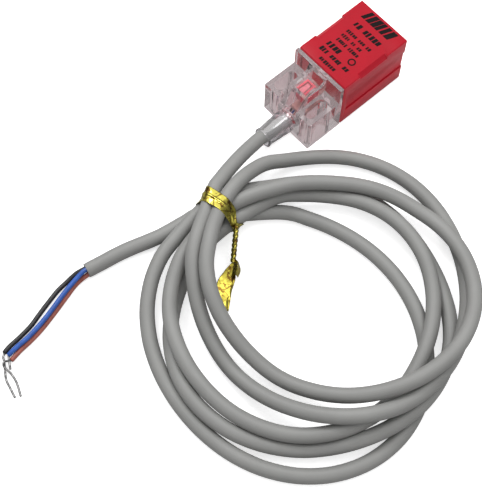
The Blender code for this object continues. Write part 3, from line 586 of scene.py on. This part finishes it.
def makeLeaf(t, word, finish, seed):
    # two flat panels that meet at a fold, each ruled between its edges, with a few sharp creases
    share = np.linspace(0, 1, 64)
    edges = []
    for edge in t["leaves"][word]:
        line, _ = smoothRoute(edge, 0.0002)
        steps = share * (len(line) - 1)
        edges.append(np.stack([np.interp(steps, np.arange(len(line)), line[:, k]) for k in range(3)], axis=1))
    v = np.linspace(0, 1, 17)[None, :, None]
    left = edges[0][:, None] * (1 - v) + edges[1][:, None] * v
    right = edges[1][:, None] * (1 - v) + edges[2][:, None] * v
    surface = np.concatenate([left, right[:, 1:]], axis=1)
    u, across = np.meshgrid(share, np.linspace(0, 2, surface.shape[1]), indexing="ij")
    rough, fine = t["leafCreases"][word]
    flatEnd = np.minimum(1, 5 * (1 - u))
    surface[..., 2] += crinkle((u * fine, across * fine / 2.4), rough, seed, 1.2) * flatEnd
    surface[..., 2] = np.maximum(surface[..., 2], 0.0002)
    return gridPiece("foil_leaf_" + word, surface, finish, closedRound=False, capped=False)


def foilFinish(name, browned, cell, gold=(0.50, 0.44, 0.08)):
    # bright gold foil: mirror-like between its creases, browner in patches, and darker along the creases as
    # painted shade; browned is the share that is brown, and cell the number of creased cells in a metre
    finish = Finish(name)
    finish.set("Metallic", 1.0)
    patch = finish.noise(520, 3.0)
    crease = finish.node("ShaderNodeTexVoronoi", {"feature": "DISTANCE_TO_EDGE"},
                         {"Vector": finish.place(), "Scale": cell, "Randomness": 1.0})
    # painted shade: near the crease lines the colour turns dark brown
    bright = finish.ramp(patch, browned, browned + 0.08) * finish.ramp(crease, 0.0, 0.035)
    finish.set("Base Color", finish.blendColour(bright, (0.13, 0.070, 0.014), gold))
    finish.set("Roughness", 0.14 + patch * 0.12)
    finish.bump(finish.ramp(crease, 0.0, 0.2) + finish.noise(700, 2.0), 0.15, 0.00006)
    return finish.material


foil = foilFinish("gold_foil", 0.35, 170)
# the leaves' foil is a darker copy of the band's gold, painted shade
creased = foilFinish("creased_foil", 0.38, 300, (0.39, 0.33, 0.052))
# the twist's larger brown share is painted shade on the tightly wound foil
wound = foilFinish("twisted_foil", 0.44, 1300)
tiePieces = [makeBand(tie, cable, route, tieSteps, foil), makeTwist(tie, wound),
             makeLeaf(tie, "long", creased, 5), makeLeaf(tie, "short", creased, 8)]
for piece, node in zip(tiePieces, ("tie_band", "tie_twist", "tie_flap_long", "tie_flap_short")):
    if node != "tie_twist":
        wall = piece.modifiers.new("foil", "SOLIDIFY")
        wall.thickness = tie["thickness"]
        wall.offset = 1.0
    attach(piece, "root")
    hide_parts(node)
print("foil tie made")


# clear sleeve on the cable

sleeveLow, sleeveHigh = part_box("strain_relief")
sleeve = {
    "axis": (sleeveLow.z + sleeveHigh.z) / 2,
    "root": (sleeveHigh.z - sleeveLow.z) / 2,
    "taper": 0.0006,
    "lip": 0.00022,
    "lipRound": 0.00025,
    "lipStart": 0.0011,             # from the sleeve's end
    "neck": 0.0029,
    "bore": cable["diameter"] / 2 + 0.00008,
    "flare": 0.0005,                # of the bore, at the end
    "end": sleeveLow.y,
    "shoulder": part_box("rear_cover")[0].y - 0.0003,
    "shoulderRound": 0.0003,
    "straight": 0.0015,             # before the taper starts
    "inside": sleeveHigh.y,
    "sides": 64,
}


def turned(name, profile, centre, sides, finish):
    # a closed outline of (radius, y) turned about an axis along Y
    about = np.linspace(0, 2 * math.pi, sides, endpoint=False)
    outline = np.array(profile + profile[:1])
    reach = outline[:, None, 0]
    rings = np.stack([centre[0] + reach * np.cos(about), np.repeat(outline[:, 1:], sides, axis=1),
                      centre[1] + reach * np.sin(about)], axis=-1)
    count = len(outline) - 1
    i, j = np.meshgrid(np.arange(count), np.arange(sides), indexing="ij")
    a, b = i * sides + j, i * sides + (j + 1) % sides
    c, d = (i + 1) % count * sides + (j + 1) % sides, (i + 1) % count * sides + j
    quads = np.stack([a, b, c, d], axis=-1).reshape(-1, 4)
    return addPiece(name, rings[:-1].reshape(-1, 3), quads.tolist(), finish)


def makeSleeve(s, finish):
    # its outline, from the bore's inner end: neck, rounded shoulder, tapered side, round lip, flared mouth
    tip = s["root"] - s["taper"]
    arc = np.linspace(0, math.pi / 2, 5)
    bend = s["lipRound"]
    lip = [(tip + s["lip"] - bend + bend * math.sin(a), s["end"] + bend - bend * math.cos(a))
           for a in arc[::-1]]
    bend = s["shoulderRound"]
    shoulder = [(s["root"] - bend + bend * math.cos(a), s["shoulder"] - bend + bend * math.sin(a))
                for a in arc]
    profile = [(s["bore"], s["inside"]), (s["neck"], s["inside"]), (s["neck"], s["shoulder"])]
    profile += shoulder[::-1]
    profile += [(s["root"] - 0.0001, s["shoulder"] - s["straight"]), (tip, s["end"] + s["lipStart"]),
                (tip + s["lip"] * 0.7, s["end"] + 0.0008)]
    profile += lip + [(s["bore"] + s["flare"], s["end"]), (s["bore"], s["end"] + 0.0006)]
    piece = turned("sleeve_moulding", profile, (0, s["axis"]), s["sides"], finish)
    piece.data.set_sharp_from_angle(angle=math.radians(40))
    return piece


def clearFinish(name, tint, roughness, clearness, bend=1.49, gloss=0.0):
    # clear moulding with a faint tint, and a very fine unevenness from the mould; bend is how much it refracts
    finish = Finish(name)
    finish.set("Transmission Weight", clearness)
    finish.set("IOR", bend)
    finish.set("Base Color", tint)
    finish.set("Coat Weight", gloss)
    finish.set("Coat IOR", 2.0)
    finish.set("Coat Roughness", 0.12)
    cloud = finish.noise(240, 3.0)
    finish.set("Roughness", roughness + cloud * 0.04)
    finish.bump(cloud, 0.02, 0.00003)
    return finish.material


clear = clearFinish("clear_moulding", (0.88, 0.71, 0.73), 0.0, 0.975, bend=1.40)
sleevePiece = makeSleeve(sleeve, clearFinish("clear_sleeve", (0.86, 0.83, 0.86), 0.02, 0.95, gloss=1.0))
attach(sleevePiece, "root")
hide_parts("strain_relief")
sleevePiece.visible_shadow = False   # light comes through it
print("sleeve made")


# housing, cover and the print on top

housing = {
    "edge": 0.00012,        # round on its sharp edges
    "sharp": 33,            # degrees between faces that meet at a sharp edge
    "printDepth": 0.00002,  # the print stands this far above the moulding
    "colour": (0.44, 0.007, 0.020),
    # the side colour is a painted reflection of the pale surroundings on the upright faces
    "paintedSideReflection": (0.70, 0.056, 0.078),
}


def softened(h, name, node, edge, finish, top=None):
    # a merged copy of a CAD node's mesh, its sharp edges rounded by the width edge, or left crisp at 0
    shape = bmesh.new()
    shape.from_mesh(nodes[node].data)
    bmesh.ops.remove_doubles(shape, verts=shape.verts, dist=0.000002)
    if edge:
        bmesh.ops.dissolve_limit(shape, angle_limit=math.radians(1), verts=shape.verts, edges=shape.edges)
    if top:
        for point in shape.verts:
            point.co.z = min(point.co.z, top)
    mesh = bpy.data.meshes.new(name)
    shape.to_mesh(mesh)
    shape.free()
    mesh.materials.append(finish)
    piece = bpy.data.objects.new(name, mesh)
    bpy.context.scene.collection.objects.link(piece)
    mesh.shade_smooth()
    if edge:
        rounded = piece.modifiers.new("edges", "BEVEL")
        rounded.width = edge
        rounded.segments = 3
        rounded.limit_method = "ANGLE"
        rounded.angle_limit = math.radians(h["sharp"])
        rounded.harden_normals = True
    else:
        mesh.set_sharp_from_angle(angle=math.radians(h["sharp"]))
        level = piece.modifiers.new("flat_faces", "WEIGHTED_NORMAL")
        level.keep_sharp = True
    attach(piece, "root")
    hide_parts(node)
    return piece


# its upright faces take the painted side reflection
red = moulded("red_moulding", housing["colour"], 0.34, depth=0.000015, specular=0.12,
              sides=housing["paintedSideReflection"])
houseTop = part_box("front_housing")[1].z
housingPiece = softened(housing, "housing_moulding", "front_housing", housing["edge"], red,
                        top=houseTop - housing["printDepth"])
coverPiece = softened(housing, "cover_moulding", "rear_cover", 0, clear)
coverPiece.visible_shadow = False    # light comes through it

# rows of plain marks on top: middle along Y, height, start and end along X, number of marks, lean, share
# filled, and the marks left out, as spaces
printRows = [
    (0.01545, 0.0033, -0.0053, 0.0050, 6, 0.0012, 0.86, ()),
    (0.01105, 0.0020, -0.0047, 0.0050, 8, 0.0003, 0.72, (2,)),
    (0.00785, 0.0012, -0.0044, 0.0047, 12, 0.0001, 0.74, (5, 9)),
    (0.00590, 0.0012, -0.0044, 0.0031, 10, 0.0001, 0.74, (4, 7)),
    (0.00395, 0.0013, -0.0042, 0.0039, 11, 0.0001, 0.74, (5,)),
    (0.00125, 0.0019, -0.0051, -0.0003, 4, 0.0003, 0.76, ()),
    (-0.00125, 0.0016, -0.0053, 0.0055, 11, 0.0002, 0.74, (3, 8)),
    (-0.00375, 0.0013, -0.0029, 0.0029, 7, 0.0001, 0.78, ()),
]
ring = {"place": (0.0040, 0.0016), "radius": 0.00095, "stroke": 0.00042, "sides": 32}


def makePrint(rows, ring, top, depth, finish):
    # each mark is a flat bar, leaning by its row's slant, whose width and height vary; the ring is flat too
    rng = np.random.default_rng(11)
    outlines = []
    for middle, tall, start, end, count, lean, filled, spaces in rows:
        cell = (end - start) / count
        for k in range(count):
            wide = cell * filled * rng.uniform(0.8, 1.25)
            high = tall * (1.0 if tall > 0.0025 else rng.uniform(0.72, 1.0))
            left = start + cell * k
            if k not in spaces:
                outlines.append([(left, middle - high / 2), (left + wide, middle - high / 2),
                                 (left + wide + lean, middle + high / 2), (left + lean, middle + high / 2)])
    cx, cy = ring["place"]
    near, far = ring["radius"] - ring["stroke"] / 2, ring["radius"] + ring["stroke"] / 2
    for k in range(ring["sides"]):
        a, b = 2 * math.pi * k / ring["sides"], 2 * math.pi * (k + 1) / ring["sides"]
        corners = ((near, a), (far, a), (far, b), (near, b))
        outlines.append([(cx + r * math.cos(w), cy + r * math.sin(w)) for r, w in corners])
    points, faces = [], []
    for outline in outlines:
        base = len(points)
        points += [(x, y, z) for z in (top - depth, top) for x, y in outline]
        faces += [tuple(base + n for n in side) for side in
                  ((3, 2, 1, 0), (4, 5, 6, 7), (0, 1, 5, 4), (1, 2, 6, 5), (2, 3, 7, 6), (3, 0, 4, 7))]
    marks = addPiece("print_marks", points, faces, finish)
    marks.data.shade_flat()
    return marks


ink = moulded("black_ink", (0.012, 0.009, 0.010), 0.6, mottle=0.3, specular=0.08)
marks = makePrint(printRows, ring, houseTop, housing["printDepth"] * 1.5, ink)
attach(marks, "root")
print("housing, cover and print made")


# the pieces inside keep their CAD shapes

insideFinishes = {
    "red_tray": (("indicator_reflector",), (0.80, 0.03, 0.09), 0.35),
    "milky_lens": (("indicator_led",), (0.74, 0.22, 0.27), 0.25),
    "tin_leads": (("led_lead_1", "led_lead_2", "resistor_base"), (0.6, 0.6, 0.6), 0.3),
    "ferrite": (("ferrite_core",), (0.05, 0.05, 0.055), 0.6),
    "bobbin_white": (("coil_bobbin",), (0.75, 0.73, 0.68), 0.5),
    "copper_enamel": (("sensing_coil", "coil_lead_1", "coil_lead_2"), (0.60, 0.24, 0.09), 0.35),
    "black_moulding": (("core_carrier", "oscillator_chip", "output_transistor", "regulator",
                        "protection_diode"), (0.02, 0.02, 0.02), 0.5),
    "board_lacquer": (("circuit_board",), (0.58, 0.40, 0.36), 0.35),
    "trimmer_blue": (("sensitivity_trimmer",), (0.03, 0.12, 0.45), 0.4),
    "capacitor_yellow": (("capacitor_supply",), (0.70, 0.45, 0.05), 0.4),
    "ceramic_tan": (("capacitor_tank",), (0.45, 0.30, 0.17), 0.5),
    "potting_resin": (("potting_plug",), (0.80, 0.020, 0.040), 0.4),
    "core_black": (("core_black",), (0.012, 0.012, 0.013), 0.35),
    "core_blue": (("core_blue",), (0.020, 0.085, 0.36), 0.35),
    "core_brown": (("core_brown",), (0.31, 0.085, 0.062), 0.35),
}
for name, (members, colour, roughness) in insideFinishes.items():
    finish = moulded(name, colour, roughness)
    for member in members:
        for slot in nodes[member].material_slots:
            slot.material = finish
print("inner pieces finished")


# table and light

studio = {
    "tableHalf": 4.0,
    "tableGlow": 0.62,
    "tableGrey": 0.45,
    "tableThrough": 0.55,
    "worldTop": 0.66,
    "worldSide": 0.24,
    "key": {"place": (-0.28, 0.16, 0.70), "size": 1.1, "power": 4.15},
    "spark": {"place": (-0.42, 0.02, 0.60), "size": 0.12, "power": 1.1},
    "streak": {"place": (0.075, 0.246, 0.70), "size": 0.26, "power": 0.6},   # lies along the sleeve
    "fill": {"place": (0.60, -0.30, 0.50), "size": 0.6, "power": 0.4},
}


def makeTable(s):
    # in view it is nearly white; what it throws onto and through the object is a mid grey
    half = s["tableHalf"]
    finish = Finish("pale_table")
    finish.set("Base Color", (0.85, 0.85, 0.85))
    finish.set("Roughness", 0.9)
    finish.set("Emission Color", (1.0, 1.0, 1.0))
    finish.set("Emission Strength", s["tableGlow"])
    dull = finish.node("ShaderNodeBsdfDiffuse", {}, {"Color": (*[s["tableGrey"]] * 3, 1.0)})
    through = finish.node("ShaderNodeEmission", {}, {"Strength": s["tableThrough"]})
    shown = Signal(finish, finish.shader.outputs[0])
    rays = finish.tree.nodes.new("ShaderNodeLightPath")
    cleared = finish.node("ShaderNodeMixShader", {}, {
        0: Signal(finish, rays.outputs["Is Transmission Ray"]), 1: dull, 2: through})
    both = finish.node("ShaderNodeMixShader", {}, {
        0: Signal(finish, rays.outputs["Is Camera Ray"]), 1: cleared, 2: shown})
    finish.tree.links.new(both.socket, finish.tree.nodes["Material Output"].inputs["Surface"])
    corners = [(-half, -half, 0), (half, -half, 0), (half, half, 0), (-half, half, 0)]
    table = addPiece("table", corners, [(0, 1, 2, 3)], finish.material)


def makeLight(name, light, aim=(0.03, -0.04, 0.0)):
    lamp = bpy.data.lights.new(name, "AREA")
    lamp.shape = "SQUARE"
    lamp.size = light["size"]
    lamp.energy = light["power"]
    thing = bpy.data.objects.new(name, lamp)
    bpy.context.scene.collection.objects.link(thing)
    thing.location = light["place"]
    thing.rotation_mode = "QUATERNION"
    thing.rotation_quaternion = (Vector(aim) - Vector(light["place"])).to_track_quat("-Z", "Y")


def makeSky(s):
    # brighter overhead than round the sides, so edges and clear parts stand out; white past the table's edge
    world = bpy.data.worlds.new("studio")
    bpy.context.scene.world = world
    world.use_nodes = True
    tree = world.node_tree
    where = tree.nodes.new("ShaderNodeTexCoord")
    split = tree.nodes.new("ShaderNodeSeparateXYZ")
    ramp = tree.nodes.new("ShaderNodeValToRGB")
    ramp.color_ramp.elements[0].position = 0.1
    ramp.color_ramp.elements[0].color = (*[s["worldSide"]] * 3, 1)
    ramp.color_ramp.elements[1].position = 0.75
    ramp.color_ramp.elements[1].color = (*[s["worldTop"]] * 3, 1)
    rays = tree.nodes.new("ShaderNodeLightPath")
    shown = tree.nodes.new("ShaderNodeMix")
    shown.data_type = "RGBA"
    shown.inputs[7].default_value = (1, 1, 1, 1)
    tree.links.new(where.outputs["Generated"], split.inputs[0])
    tree.links.new(split.outputs["Z"], ramp.inputs[0])
    tree.links.new(rays.outputs["Is Camera Ray"], shown.inputs[0])
    tree.links.new(ramp.outputs[0], shown.inputs[6])
    tree.links.new(shown.outputs[2], tree.nodes["Background"].inputs["Color"])


makeTable(studio)
makeLight("key_light", studio["key"])
makeLight("fill_light", studio["fill"])
makeLight("spark_light", studio["spark"])
makeLight("streak_light", studio["streak"], aim=(0.0, -0.022, 0.004))
makeSky(studio)
bpy.context.scene.view_settings.view_transform = "Standard"
print("table and light made")
